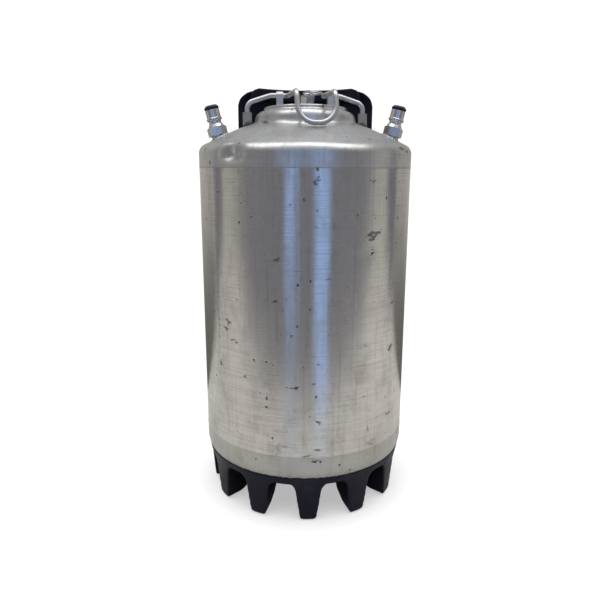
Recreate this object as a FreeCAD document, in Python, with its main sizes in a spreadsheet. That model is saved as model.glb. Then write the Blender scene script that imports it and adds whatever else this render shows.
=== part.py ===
import FreeCAD, Part

import math
import os
from types import SimpleNamespace

import Sketcher
from FreeCAD import Placement, Rotation, Vector

# Three gallon stainless beverage keg with an oval lid, two quick connect posts, a rubber top handle
# and a rubber boot. Millimetres. The origin is the centre of the footprint on the floor, +Z is up,
# -Y is the front, the handle is at +Y and the posts are at -X (liquid) and +X (gas).

DRIVING_SIZES = [
    ("tank_radius", 107.95, "outer radius of the barrel, 8.5 in across"),
    ("sheet_wall", 1.5, "sheet thickness of barrel and heads"),
    ("low_seam", 70.6, "middle of the lower girth weld"),
    ("low_seam_width", 4.0, "width of the lower girth weld"),
    ("high_seam", 345.2, "middle of the upper girth weld"),
    ("high_seam_width", 1.0, "width of the upper girth weld"),
    ("bead_crown", 0.2, "weld bead standing proud of the sheet"),
    ("bottom_height", 22.0, "lowest point of the bottom head above the floor"),
    ("bottom_knuckle", 25.0, "knuckle radius of the bottom head"),
    ("bottom_bend", 60.0, "height where the bottom head starts to turn in"),
    ("top_knuckle", 9.75, "knuckle radius of the top head"),
    ("top_bend", 358.5, "height where the top head starts to turn in"),
    ("shoulder_radius", 102.63, "where the top knuckle ends"),
    ("shoulder_height", 367.19, "height where the top knuckle ends"),
    ("crown_bend", 392.0, "radius of the slightly domed slope of the top head"),
    ("crown_edge", 47.0, "inner end of the slope, under the neck"),
    ("crown_top", 390.4, "height of the slope's inner end"),
    ("neck_half_x", 51.0, "oval neck, half its width"),
    ("neck_half_y", 61.0, "oval neck, half its length"),
    ("neck_foot", 384.2, "lower end of the neck wall"),
    ("neck_shoulder", 399.3, "top of the neck's outer wall"),
    ("rim_half_x", 42.0, "raised rim round the mouth, half its width"),
    ("rim_half_y", 52.5, "raised rim round the mouth, half its length"),
    ("rim_top", 403.0, "top of the rim"),
    ("mouth_half_x", 39.0, "mouth, half its width"),
    ("mouth_half_y", 50.0, "mouth, half its length"),
    ("neck_round", 7.6, "rounding of the neck's shoulder"),
    ("neck_wall", 2.2, "wall of the neck"),
    ("lid_yaw", 5.5, "degrees that the lid sits turned in the mouth"),
    ("lid_half_x", 36.5, "raised middle of the lid, half its width"),
    ("lid_half_y", 47.5, "raised middle of the lid, half its length"),
    ("lid_top", 402.0, "top of the lid"),
    ("lid_flange_x", 46.0, "lid flange, half its width"),
    ("lid_flange_y", 56.5, "lid flange, half its length"),
    ("lid_flange_low", 388.9, "underside of the lid flange"),
    ("lid_sheet", 1.5, "sheet thickness of the lid"),
    ("gasket_half_x", 45.2, "lid gasket, half its width"),
    ("gasket_half_y", 55.7, "lid gasket, half its length"),
    ("gasket_section", 5.6, "width of the gasket's section"),
    ("gasket_top", 396.9, "top of the gasket, just under the neck"),
    ("pivot_height", 415.5, "height of the bail's pivot line"),
    ("bail_wire", 4.8, "diameter of the bail wire"),
    ("ear_offset", 25.9, "bail bracket, distance from the lid's middle"),
    ("ear_width", 6.6, "width of the bail bracket's strap"),
    ("ear_sheet", 1.5, "thickness of the bail bracket's strap"),
    ("ear_clearance", 0.06, "radial play of the wire in the bracket"),
    ("lever_half", 17.7, "half the distance between the lever arms"),
    ("lever_skew", 3.3, "degrees that the lever is bent sideways, towards +X"),
    ("lever_reach", 63.0, "lever's bend, distance in front of the pivot"),
    ("lever_tip", 70.0, "lever's tip, distance in front of the pivot"),
    ("lever_tip_drop", 30.5, "lever's tip, depth below the pivot"),
    ("foot_offset", 58.6, "bail foot, distance from the lid's middle"),
    ("foot_diameter", 9.2, "diameter of the bail's feet"),
    ("foot_top", 6.0, "top of a foot above the middle of its rolled underside"),
    ("foot_tilt", 5.0, "degrees that the bail's legs lean forward"),
    ("foot_gap", 0.45, "gap between a foot and the top head"),
    ("leg_drop", 22.0, "end of the bail's wire, depth below the pivot"),
    ("knee_drop", 7.6, "bail's knee, depth below the pivot"),
    ("valve_offset", 25.0, "relief valve, distance in front of the lid's middle"),
    ("valve_hex", 12.7, "relief valve hexagon across flats"),
    ("valve_hex_top", 413.0, "top of the relief valve's hexagon"),
    ("valve_bore", 8.0, "bore of the relief valve"),
    ("valve_shank", 11.6, "shank of the relief valve in the lid"),
    ("stem_diameter", 4.6, "relief valve stem where the ring passes through"),
    ("ring_height", 416.1, "height of the pull ring when it lies flat"),
    ("ring_radius", 9.0, "pull ring, radius to the middle of its wire"),
    ("ring_wire", 1.8, "diameter of the ring's wire"),
    ("ring_azimuth", 39.0, "degrees from the lid's +Y towards +X where the ring lies"),
    ("post_offset", 88.5, "post axis at the height of the post's foot"),
    ("post_foot", 376.0, "height of the post axis at the post's foot"),
    ("post_tilt", 13.5, "degrees that a post leans outward"),
    ("post_hex", 17.46, "post hexagon across flats"),
    ("post_hex_low", 0.5, "lower end of the post hexagon along the post"),
    ("post_hex_high", 9.5, "upper end of the post hexagon along the post"),
    ("post_radius", 7.15, "post barrel"),
    ("post_ridge", 7.85, "locking ridge of the post"),
    ("post_height", 30.8, "height of a post"),
    ("post_bore", 5.0, "bore for the poppet"),
    ("post_mouth", 3.2, "opening at the top of a post"),
    ("thread_radius", 7.1, "threaded tank port"),
    ("port_bore", 4.6, "bore of the tank port"),
    ("tube_radius", 3.97, "dip tube, outside"),
    ("tube_bore", 3.2, "dip tube, inside"),
    ("gas_tube_length", 30.0, "reach of the gas tube below the post's foot"),
    ("liquid_tube_length", 357.4, "reach of the liquid tube below the post's foot"),
    ("handle_outer", 92.0, "outer radius of the handle wall"),
    ("handle_inner", 80.5, "inner radius of the handle wall"),
    ("handle_half", 72.2, "half the width of the handle"),
    ("handle_top", 429.8, "top of the handle's grip"),
    ("wall_top", 427.8, "top of the handle's wall beside the grip"),
    ("handle_corner", 19.5, "corner radius of the handle"),
    ("slot_half", 45.0, "hand slot, half its width"),
    ("slot_low", 391.5, "bottom of the hand slot"),
    ("slot_high", 413.0, "top of the hand slot"),
    ("grip_inner", 73.5, "inner radius of the rolled grip"),
    ("grip_half", 50.5, "half the width of the rolled grip at its top"),
    ("grip_spread", 8.5, "how much further the rolled grip reaches at its underside"),
    ("grip_bevel", 6.0, "width of the flat slant at the end of the rolled grip's top"),
    ("grip_fall", 2.8, "fall of that slant"),
    ("grip_low", 417.0, "underside of the rolled grip"),
    ("bracket_outer", 87.6, "outer radius of the handle's steel bracket"),
    ("bracket_inner", 84.6, "inner radius of the handle's steel bracket"),
    ("boot_top", 49.6, "top edge of the boot"),
    ("boot_lip", 106.3, "outer radius of the boot's top edge"),
    ("boot_waist", 104.0, "outer radius of the boot where the fingers start"),
    ("boot_foot", 101.7, "outer radius of the boot near the floor"),
    ("boot_web", 2.0, "thickness of the boot's cup between the fingers"),
    ("boot_tread", 84.0, "inner radius of the fingers' flat soles"),
    ("boot_inside", 52.0, "inner radius of the boot under the tank"),
    ("finger_top", 42.6, "top of the arches between the fingers"),
    ("finger_half", 9.1, "half the width of a finger near the floor"),
    ("finger_root", 12.7, "half the width of a finger at the arches"),
    ("finger_azimuth", 2.6, "degrees that the front finger sits towards +X"),
]
FINGERS = 12


class Size:
    """A length with the sheet formula that gives it."""

    def __init__(self, formula, value):
        self.formula = formula
        self.value = value

    def __add__(self, other):
        other = as_size(other)
        return Size(f"({self.formula} + {other.formula})", self.value + other.value)

    def __sub__(self, other):
        other = as_size(other)
        return Size(f"({self.formula} - {other.formula})", self.value - other.value)

    def __mul__(self, other):
        other = as_size(other)
        return Size(f"({self.formula} * {other.formula})", self.value * other.value)

    def __truediv__(self, other):
        other = as_size(other)
        return Size(f"({self.formula} / {other.formula})", self.value / other.value)

    def __neg__(self):
        return self * -1

    __radd__ = __add__
    __rmul__ = __mul__

    def __rsub__(self, other):
        return as_size(other) - self


def as_size(number):
    if isinstance(number, Size):
        return number
    return Size(f"({number})", float(number))


def fill_sheet(doc):
    """Write the driving sizes to a spreadsheet and return them by name."""
    sheet = doc.addObject("Spreadsheet::Sheet", "Sizes")
    sizes = SimpleNamespace()
    for row, (name, value, note) in enumerate(DRIVING_SIZES, start=1):
        sheet.set(f"A{row}", note)
        sheet.set(f"B{row}", str(value))
        sheet.setAlias(f"B{row}", name)
        setattr(sizes, name, Size(f"Sizes.{name}", value))
    doc.recompute()
    return sizes


doc = FreeCAD.newDocument("keg")
size = fill_sheet(doc)
NODES = {}


def keep(thing, label):
    """Give a finished sub-part its label and list it for export."""
    thing.Label = label
    NODES[label] = thing
    return thing


def bind(thing, **formulas):
    """Tie properties of an object to the sheet."""
    for prop, length in formulas.items():
        thing.setExpression(prop, as_size(length).formula)


# --- sketched bodies ---------------------------------------------------------------------------


def new_body(name):
    return doc.addObject("PartDesign::Body", name)


def new_sketch(body, plane, name, offset=0):
    """An empty sketch on one of the body's origin planes, moved along its normal by offset."""
    sketch = body.newObject("Sketcher::SketchObject", name)
    support = [item for item in body.Origin.OriginFeatures if item.Role == plane][0]
    sketch.AttachmentSupport = [(support, "")]
    sketch.MapMode = "FlatFace"
    sketch.setExpression("AttachmentOffset.Base.z", as_size(offset).formula)
    return sketch


def arc_between(start, end, bend):
    """Arc of radius |bend| from start to end, turning left where bend is positive."""
    chord = end - start
    middle = (start + end) * 0.5
    left = Vector(-chord.y, chord.x, 0).normalize()
    reach = math.sqrt(max(bend * bend - (chord.Length / 2) ** 2, 0))
    centre = middle + left * math.copysign(reach, bend)
    first, last = (start, end) if bend > 0 else (end, start)
    low = math.atan2(first.y - centre.y, first.x - centre.x)
    high = math.atan2(last.y - centre.y, last.x - centre.x)
    return Part.ArcOfCircle(Part.Circle(centre, Vector(0, 0, 1), abs(bend)), low, high)


def pin_coordinate(sketch, kind, edge, end, length):
    """Hold one coordinate of an edge's end at a length from the sheet."""
    if length.value == 0:
        axis = -2 if kind == "DistanceX" else -1
        sketch.addConstraint(Sketcher.Constraint("PointOnObject", edge, end, axis))
        return
    index = sketch.addConstraint(Sketcher.Constraint(kind, -1, 1, edge, end, length.value))
    sketch.setExpression(f"Constraints[{index}]", length.formula)


def draw_outline(sketch, corners):
    """Draw a closed outline whose corners and arcs follow the sheet.

    A corner is (across, up) or (across, up, bend), where bend is the radius of the arc that leads
    to the next corner, positive where that arc turns left.
    """
    points = [(as_size(corner[0]), as_size(corner[1])) for corner in corners]
    bends = [as_size(corner[2]) if len(corner) > 2 else None for corner in corners]
    places = [Vector(across.value, up.value, 0) for across, up in points]
    starts = []
    ends = []
    for number, bend in enumerate(bends):
        start = places[number]
        end = places[(number + 1) % len(places)]
        if bend is None:
            edge = sketch.addGeometry(Part.LineSegment(start, end), False)
        else:
            edge = sketch.addGeometry(arc_between(start, end, bend.value), False)
        backwards = bend is not None and bend.value < 0
        starts.append((edge, 2 if backwards else 1))
        ends.append((edge, 1 if backwards else 2))
    for number, (edge, end) in enumerate(starts):
        sketch.addConstraint(Sketcher.Constraint("Coincident", *ends[number - 1], edge, end))
        across, up = points[number]
        pin_coordinate(sketch, "DistanceX", edge, end, across)
        pin_coordinate(sketch, "DistanceY", edge, end, up)
        if bends[number] is not None:
            radius = bends[number] if bends[number].value > 0 else -bends[number]
            index = sketch.addConstraint(Sketcher.Constraint("Radius", edge, radius.value))
            sketch.setExpression(f"Constraints[{index}]", radius.formula)
    return sketch


def draw_polygon(sketch, sides, across_flats, turn=0):
    """Draw a regular polygon; its first edge is held by the sheet and the others are equal."""
    radius = across_flats.value / 2 / math.cos(math.pi / sides)
    angles = [math.radians(turn) + 2 * math.pi * step / sides for step in range(sides)]
    places = [Vector(radius * math.cos(angle), radius * math.sin(angle), 0) for angle in angles]
    circle = sketch.addGeometry(Part.Circle(Vector(), Vector(0, 0, 1), radius), True)
    sketch.addConstraint(Sketcher.Constraint("Coincident", circle, 3, -1, 1))
    edges = []
    for number, place in enumerate(places):
        edges.append(sketch.addGeometry(Part.LineSegment(place, places[(number + 1) % sides]), False))
    for number, edge in enumerate(edges):
        sketch.addConstraint(Sketcher.Constraint("Coincident", edges[number - 1], 2, edge, 1))
        sketch.addConstraint(Sketcher.Constraint("PointOnObject", edge, 1, circle))
        if number:
            sketch.addConstraint(Sketcher.Constraint("Equal", edges[0], edge))
    bound = Sketcher.Constraint("Diameter", circle, 2 * radius)
    index = sketch.addConstraint(bound)
    corner_ratio = 1 / math.cos(math.pi / sides)
    sketch.setExpression(f"Constraints[{index}]", (across_flats * corner_ratio).formula)
    return sketch


def turn_outline(body, corners, name, cut=False):
    """Revolve an outline of (radius, height) corners about the body's Z axis, or cut it away."""
    sketch = draw_outline(new_sketch(body, "XZ_Plane", f"{name}Outline"), corners)
    feature = body.newObject("PartDesign::Groove" if cut else "PartDesign::Revolution", name)
    feature.Profile = sketch
    feature.ReferenceAxis = (sketch, ["V_Axis"])
    feature.Angle = 360
    return feature


def turned(label, corners):
    """A sub-part that is one turned piece."""
    body = new_body(label)
    turn_outline(body, corners, "Turned")
    return keep(body, label)


def pad(body, sketch, length, name, both_ways=False):
    feature = body.newObject("PartDesign::Pad", name)
    feature.Profile = sketch
    feature.SideType = "Symmetric" if both_ways else "One side"
    bind(feature, Length=length)
    return feature


def pocket(body, sketch, length, name, both_ways=False):
    feature = body.newObject("PartDesign::Pocket", name)
    feature.Profile = sketch
    feature.SideType = "Symmetric" if both_ways else "One side"
    bind(feature, Length=length)
    return feature


def polar_pattern(body, feature, count, name):
    pattern = body.newObject("PartDesign::PolarPattern", name)
    pattern.Originals = [feature]
    axis = [item for item in body.Origin.OriginFeatures if item.Role == "Z_Axis"][0]
    pattern.Axis = (axis, [""])
    pattern.Angle = 360
    pattern.Occurrences = count
    body.Tip = pattern
    return pattern


# --- primitives and booleans -------------------------------------------------------------------


def rod(name, radius, low, high):
    """A round rod about the Z axis."""
    cylinder = doc.addObject("Part::Cylinder", name)
    bind(cylinder, Radius=radius, Height=as_size(high) - low)
    cylinder.setExpression("Placement.Base.z", as_size(low).formula)
    return cylinder


def oval(name, half_x, half_y, low, high):
    """An upright elliptic solid whose longer axis is Y."""
    outline = doc.addObject("Part::Ellipse", f"{name}Outline")
    bind(outline, MajorRadius=half_y, MinorRadius=half_x)
    outline.Placement.Rotation = Rotation(Vector(0, 0, 1), 90)
    outline.setExpression("Placement.Base.z", as_size(low).formula)
    solid = doc.addObject("Part::Extrusion", name)
    solid.Base = outline
    solid.DirMode = "Custom"
    solid.Dir = Vector(0, 0, 1)
    solid.Solid = True
    bind(solid, LengthFwd=as_size(high) - low)
    return solid


def fused(name, *things):
    result = doc.addObject("Part::MultiFuse", name)
    result.Shapes = list(things)
    result.Refine = True
    return result


def cut(name, base, tool):
    result = doc.addObject("Part::Cut", name)
    result.Base = base
    result.Tool = tool
    result.Refine = True
    return result


def common(name, *things):
    result = doc.addObject("Part::MultiCommon", name)
    result.Shapes = list(things)
    return result


def rounded(name, base, wanted):
    """Round the edges for which wanted(edge) gives a radius."""
    doc.recompute()
    result = doc.addObject("Part::Fillet", name)
    result.Base = base
    rounds = [(number, wanted(edge)) for number, edge in enumerate(base.Shape.Edges, start=1)]
    result.Edges = [(number, radius, radius) for number, radius in rounds if radius]
    return result


def level_edge(edge, height, reach):
    """Whether an edge lies flat at a height and reaches that far along X."""
    box = edge.BoundBox
    return (abs(box.ZMin - height.value) < 0.01 and abs(box.ZMax - height.value) < 0.01
            and abs(box.XMax - reach.value) < 0.05)


def rings(*rows):
    """Edge test for level ovals: rows of (height, half width, fillet radius)."""
    def wanted(edge):
        for height, reach, radius in rows:
            if level_edge(edge, height, reach):
                return radius
        return 0
    return wanted


def torus(label, ring_radius, section_radius):
    ring = doc.addObject("Part::Torus", label)
    bind(ring, Radius1=ring_radius, Radius2=section_radius)
    return keep(ring, label)


def coil_spring(label, coil_radius, wire_radius, pitch, low, high):
    """A helical spring about the Z axis whose ends stay inside low and high."""
    helix = doc.addObject("Part::Helix", f"{label}_line")
    bind(helix, Radius=coil_radius, Pitch=pitch, Height=as_size(high) - low - 2 * as_size(wire_radius))
    helix.setExpression("Placement.Base.z", (as_size(low) + wire_radius).formula)
    wire = doc.addObject("Part::Circle", f"{label}_wire")
    bind(wire, Radius=wire_radius)
    wire.Placement.Rotation = Rotation(Vector(1, 0, 0), 90)
    wire.setExpression("Placement.Base.x", as_size(coil_radius).formula)
    wire.setExpression("Placement.Base.z", (as_size(low) + wire_radius).formula)
    spring = doc.addObject("Part::Sweep", label)
    spring.Sections = [wire]
    spring.Spine = (helix, [])
    spring.Solid = True
    spring.Frenet = True
    return keep(spring, label)


def bent_path(corners, bends):
    """Wire of straight runs joined by tangent arcs; bends are the radii at the inner corners."""
    edges = []
    here = corners[0]
    for number, bend in enumerate(bends, start=1):
        corner = corners[number]
        back = (corners[number - 1] - corner).normalize()
        onward = (corners[number + 1] - corner).normalize()
        turn = math.pi - back.getAngle(onward)
        run = bend * math.tan(turn / 2)
        start = corner + back * run
        end = corner + onward * run
        inward = (back + onward).normalize()
        middle = corner + inward * (bend / math.cos(turn / 2) - bend)
        edges.append(Part.LineSegment(here, start).toShape())
        edges.append(Part.Arc(start, middle, end).toShape())
        here = end
    edges.append(Part.LineSegment(here, corners[-1]).toShape())
    return Part.Wire(edges)


# --- places ------------------------------------------------------------------------------------

LID_TURN = Placement(Vector(), Rotation(Vector(0, 0, 1), size.lid_yaw.value))
VALVE_PLACE = LID_TURN * Placement(Vector(0, -size.valve_offset.value, 0), Rotation())
POST_SIDES = {"liquid": -1, "gas": 1}


def post_place(side, along=0):
    """Placement on a post's axis, a distance up it from the post's foot."""
    foot = Vector(side * size.post_offset.value, 0, size.post_foot.value)
    lean = Rotation(Vector(0, 1, 0), side * size.post_tilt.value)
    return Placement(foot, lean) * Placement(Vector(0, 0, along), Rotation())


# --- tank --------------------------------------------------------------------------------------


def build_barrel():
    inside = size.tank_radius - size.sheet_wall
    low = size.low_seam + size.low_seam_width / 2
    high = size.high_seam - size.high_seam_width / 2
    turned("barrel", [
        (inside, low), (size.tank_radius, low), (size.tank_radius, high), (inside, high),
    ])


def slope_at(reach):
    """Height of the top head's slope, and its fall in degrees, at a distance from the middle."""
    start = Vector(size.shoulder_radius.value, size.shoulder_height.value, 0)
    end = Vector(size.crown_edge.value, size.crown_top.value, 0)
    centre = arc_between(start, end, size.crown_bend.value).Center
    across = reach - centre.x
    height = centre.y + math.sqrt(size.crown_bend.value ** 2 - across ** 2)
    return height, math.degrees(math.asin(across / size.crown_bend.value))


def bottom_arcs(offset):
    """Dish radius, dish centre, and the point where the dish meets the knuckle, inset by offset."""
    across = size.tank_radius - size.bottom_knuckle
    rise = size.bottom_bend - size.bottom_height
    knuckle_square = size.bottom_knuckle * size.bottom_knuckle
    dish = (across * across + rise * rise - knuckle_square) / (2 * (rise - size.bottom_knuckle))
    centre = size.bottom_height + dish
    share = (dish - offset) / (dish - size.bottom_knuckle)
    return dish, centre, across * share, centre - (centre - size.bottom_bend) * share


def build_bottom_dome():
    wall = size.sheet_wall
    dish, _, outer_r, outer_z = bottom_arcs(0)
    _, _, inner_r, inner_z = bottom_arcs(wall)
    top = size.low_seam - size.low_seam_width / 2
    turned("bottom_dome", [
        (0, size.bottom_height, dish),
        (outer_r, outer_z, size.bottom_knuckle),
        (size.tank_radius, size.bottom_bend),
        (size.tank_radius, top),
        (size.tank_radius - wall, top),
        (size.tank_radius - wall, size.bottom_bend, wall - size.bottom_knuckle),
        (inner_r, inner_z, wall - dish),
        (0, size.bottom_height + wall),
    ])


def build_seam(label, middle, width):
    """Girth weld bead: fills the gap between two sheets, with a low crown outside."""
    inside = size.tank_radius - size.sheet_wall
    low = middle - width / 2
    high = middle + width / 2
    crown = (width * width / 4 + size.bead_crown * size.bead_crown) / (2 * size.bead_crown)
    turned(label, [
        (inside, low), (size.tank_radius, low, crown), (size.tank_radius, high), (inside, high),
    ])


def build_top_dome():
    """Top head: pressed slope with an oval neck drawn up from it, and two holes for the ports."""
    wall = size.sheet_wall
    low = size.high_seam + size.high_seam_width / 2
    inner_shoulder = size.shoulder_radius - wall * 0.45
    slope = new_body("top_dome_slope")
    turn_outline(slope, [
        (size.tank_radius - wall, low),
        (size.tank_radius, low),
        (size.tank_radius, size.top_bend, size.top_knuckle),
        (size.shoulder_radius, size.shoulder_height, size.crown_bend),
        (size.crown_edge, size.crown_top),
        (size.crown_edge, size.crown_top - wall * 1.05, wall - size.crown_bend),
        (inner_shoulder, size.shoulder_height - wall * 0.89, wall - size.top_knuckle),
        (size.tank_radius - wall, size.top_bend),
    ], "Slope")
    neck = oval("neck_outside", size.neck_half_x, size.neck_half_y, size.neck_foot, size.neck_shoulder)
    rim = oval("rim_outside", size.rim_half_x, size.rim_half_y, size.neck_shoulder, size.rim_top)
    outside = fused("top_dome_outside", slope, neck, rim)
    cavity_x = size.neck_half_x - size.neck_wall
    cavity_y = size.neck_half_y - size.neck_wall
    roof = size.neck_shoulder - size.neck_wall
    cavity = oval("neck_cavity", cavity_x, cavity_y, size.neck_foot - 10, roof)
    mouth = oval("neck_mouth", size.mouth_half_x, size.mouth_half_y, size.neck_foot, size.rim_top + 1)
    ports = [rod(f"{fluid}_port_hole", size.thread_radius, -20, 20) for fluid in POST_SIDES]
    for hole, side in zip(ports, POST_SIDES.values()):
        hole.setExpression("Placement.Base.z", None)
        hole.Placement = post_place(side, -20)
    open_dome = cut("top_dome_open", outside, fused("top_dome_holes", cavity, mouth, *ports))
    dome = rounded("top_dome", open_dome, rings(
        (size.neck_shoulder, size.neck_half_x, size.neck_round.value),
        (size.rim_top, size.rim_half_x, 1.15),
        (size.rim_top, size.mouth_half_x, 1.15),
        (size.neck_shoulder, size.rim_half_x, 0.8),
    ))
    keep(dome, "top_dome")


# --- posts, one on each side -------------------------------------------------------------------


def build_port(fluid, side):
    """Threaded port welded into the top head, counterbored for the dip tube's seal."""
    port = turned(f"{fluid}_port", [
        (size.port_bore, -9), (size.thread_radius, -9), (size.thread_radius, 7.5), (6.0, 7.5),
        (6.0, 5.8), (size.port_bore, 5.8),
    ])
    port.Placement = post_place(side)


def build_post(fluid, side):
    """Quick connect post: hexagon, flare, locking groove and ridge, barrel and seal groove."""
    post = new_body(f"{fluid}_post")
    hexagon = draw_polygon(new_sketch(post, "XY_Plane", "HexOutline", size.post_hex_low), 6, size.post_hex)
    pad(post, hexagon, size.post_hex_high - size.post_hex_low, "Hexagon")
    corner = size.post_hex * 0.6
    turn_outline(post, [
        (size.post_hex * 0.49, size.post_hex_low - 1), (corner, size.post_hex_low - 1),
        (corner, size.post_hex_low + 1.2), (size.post_hex * 0.49, size.post_hex_low),
    ], "LowChamfer", cut=True)
    turn_outline(post, [
        (corner, size.post_hex_high + 1), (size.post_hex * 0.49, size.post_hex_high + 1),
        (size.post_hex * 0.49, size.post_hex_high), (corner, size.post_hex_high - 1.2),
    ], "HighChamfer", cut=True)
    turn_outline(post, [
        (0, size.post_hex_high - 3), (8.2, size.post_hex_high - 3), (8.2, size.post_hex_high),
        (6.9, 12.3), (6.3, 13.0), (6.3, 15.4), (size.post_ridge, 16.3), (size.post_ridge, 17.9),
        (size.post_radius, 18.5), (size.post_radius, 26.4), (4.35, 26.4), (4.35, 30.0),
        (6.0, 30.0), (6.0, size.post_height), (0, size.post_height),
    ], "Barrel")
    turn_outline(post, [
        (0, size.post_hex_low - 1), (size.thread_radius + 0.04, size.post_hex_low - 1),
        (size.thread_radius + 0.04, 8.7), (size.post_bore, 8.7), (size.post_bore, 19.5),
        (size.post_mouth, 21.3), (size.post_mouth, size.post_height + 1), (0, size.post_height + 1),
    ], "Bore", cut=True)
    if fluid == "gas":
        notch = draw_outline(new_sketch(post, "XY_Plane", "NotchOutline", size.post_hex_high + 1), [
            (size.post_hex * 0.525, 0), (size.post_hex * 0.61, -1.4), (size.post_hex * 0.61, 1.4),
        ])
        notches = pocket(post, notch, 12, "CornerNotch")
        polar_pattern(post, notches, 6, "CornerNotches")
    post.Placement = post_place(side)
    keep(post, f"{fluid}_post")


def build_post_seals(fluid, side):
    outer = torus(f"{fluid}_post_oring", 5.95, 1.6)
    outer.Placement = post_place(side, 28.2)
    inner = torus(f"{fluid}_tube_oring", 5.05, 0.85)
    inner.Placement = post_place(side, 6.7)


def build_poppet(fluid, side):
    """Sprung valve in the post: disc, hub and pin, its seal and its spring."""
    poppet = turned(f"{fluid}_poppet", [
        (0, 17.9), (4.3, 17.9), (4.3, 19.2), (2.25, 19.2), (2.25, 21.2), (1.5, 21.2),
        (1.5, 29.2), (1.1, 29.6), (0, 29.6),
    ])
    poppet.Placement = post_place(side)
    seal = torus(f"{fluid}_poppet_seal", 3.1, 0.8)
    seal.Placement = post_place(side, 20.1)
    spring = coil_spring(f"{fluid}_poppet_spring", 4.2, 0.3, 1.5, 0, 9.1)
    spring.Placement = post_place(side, 8.7)


def build_dip_tube(fluid, side, reach):
    """Dip tube: a straight tube on the post's axis, hung from a flange on the port."""
    tube = turned(f"{fluid}_dip_tube", [
        (size.tube_bore, -reach), (size.tube_radius, -reach), (size.tube_radius, 7.6),
        (6.3, 7.6), (6.3, 8.6), (size.tube_bore, 8.6),
    ])
    tube.Placement = post_place(side)


# --- lid ---------------------------------------------------------------------------------------


def build_lid():
    """Oval lid: flange under the mouth, raised middle through it, and a hole for the valve."""
    sheet = size.lid_sheet
    flange_top = size.lid_flange_low + sheet
    flange = oval("lid_flange", size.lid_flange_x, size.lid_flange_y, size.lid_flange_low, flange_top)
    middle = oval("lid_middle", size.lid_half_x, size.lid_half_y, size.lid_flange_low, size.lid_top)
    hollow = oval("lid_hollow", size.lid_half_x - sheet, size.lid_half_y - sheet,
                  size.lid_flange_low - 1, size.lid_top - sheet)
    hole = rod("lid_hole", size.valve_shank / 2, size.lid_top - 10, size.lid_top + 1)
    hole.setExpression("Placement.Base.y", (-size.valve_offset).formula)
    shell = cut("lid_shell", fused("lid_outside", flange, middle), fused("lid_holes", hollow, hole))
    lid = rounded("lid", shell, rings(
        (size.lid_top, size.lid_half_x, 3.0),
        (size.lid_top - sheet, size.lid_half_x - sheet, 1.6),
        (flange_top, size.lid_half_x, 1.0),
        (size.lid_flange_low, size.lid_half_x - sheet, 1.0),
        (flange_top, size.lid_flange_x, 0.5),
    ))
    lid.Placement = LID_TURN
    keep(lid, "lid")


def build_gasket():
    """Oval rubber seal on the lid's flange."""
    low = size.lid_flange_low + size.lid_sheet
    section = size.gasket_section
    outer = oval("gasket_outer", size.gasket_half_x, size.gasket_half_y, low, size.gasket_top)
    inner = oval("gasket_inner", size.gasket_half_x - section, size.gasket_half_y - section,
                 low - 1, size.gasket_top + 1)
    gasket = rounded("lid_gasket", cut("gasket_ring", outer, inner), rings(
        (size.gasket_top, size.gasket_half_x, 2.2),
        (size.gasket_top, size.gasket_half_x - section, 2.2),
    ))
    gasket.Placement = LID_TURN
    keep(gasket, "lid_gasket")


def build_bail_bracket(hand, side):
    """Strap bent over the bail wire, with a foot welded to the lid in front and behind."""
    inner = size.bail_wire / 2 + size.ear_clearance
    outer = inner + size.ear_sheet
    toe = outer + 6
    base = size.lid_top
    ledge = base + size.ear_sheet
    pivot = size.pivot_height
    bracket = new_body(f"bail_bracket_{hand}")
    strap = draw_outline(new_sketch(bracket, "YZ_Plane", "StrapOutline"), [
        (-toe, base), (-inner, base), (-inner, pivot, -inner), (0, pivot + inner, -inner),
        (inner, pivot), (inner, base), (toe, base), (toe, ledge), (outer, ledge),
        (outer, pivot, outer), (0, pivot + outer, outer), (-outer, pivot), (-outer, ledge),
        (-toe, ledge),
    ])
    pad(bracket, strap, size.ear_width, "Strap", both_ways=True)
    bracket.Placement = LID_TURN * Placement(Vector(side * size.ear_offset.value, 0, 0), Rotation())
    keep(bracket, f"bail_bracket_{hand}")


def bail_corners(side):
    """Corners of one half of the bail wire, from its foot to the tip of the lever, and their bends."""
    pivot = size.pivot_height.value
    lean = math.tan(math.radians(size.foot_tilt.value))
    skew = math.tan(math.radians(size.lever_skew.value))
    foot = side * size.foot_offset.value
    knee_run = side * 23.5
    arm = side * size.lever_half.value
    reach = size.lever_reach.value
    drop = size.lever_tip_drop.value
    return [
        Vector(foot, -size.leg_drop.value * lean, pivot - size.leg_drop.value),
        Vector(foot, -size.knee_drop.value * lean, pivot - size.knee_drop.value),
        Vector(foot - knee_run, 0, pivot),
        Vector(arm, 0, pivot),
        Vector(arm + skew * reach, -reach, pivot - 2.5),
        Vector(arm + skew * (reach + drop), -size.lever_tip.value, pivot - drop),
    ], [8.0, 10.0, 4.5, 7.0, 16.0]


def build_bail():
    """One bent wire: two legs, the pivot stretches and the U shaped lever."""
    right, bends = bail_corners(1)
    left, _ = bail_corners(-1)
    path = bent_path(right + list(reversed(left)), bends + list(reversed(bends)))
    section = Part.Circle(right[0], right[1] - right[0], size.bail_wire.value / 2).toShape()
    bail = doc.addObject("Part::Feature", "bail")
    bail.Shape = path.makePipeShell([Part.Wire([section])], True, False)
    expected = section.Length * size.bail_wire.value / 4 * path.Length
    if abs(bail.Shape.Volume / expected - 1) > 0.01:
        raise RuntimeError("the bail's volume doesn't match its length")
    bail.Placement = LID_TURN
    keep(bail, "bail")


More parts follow.
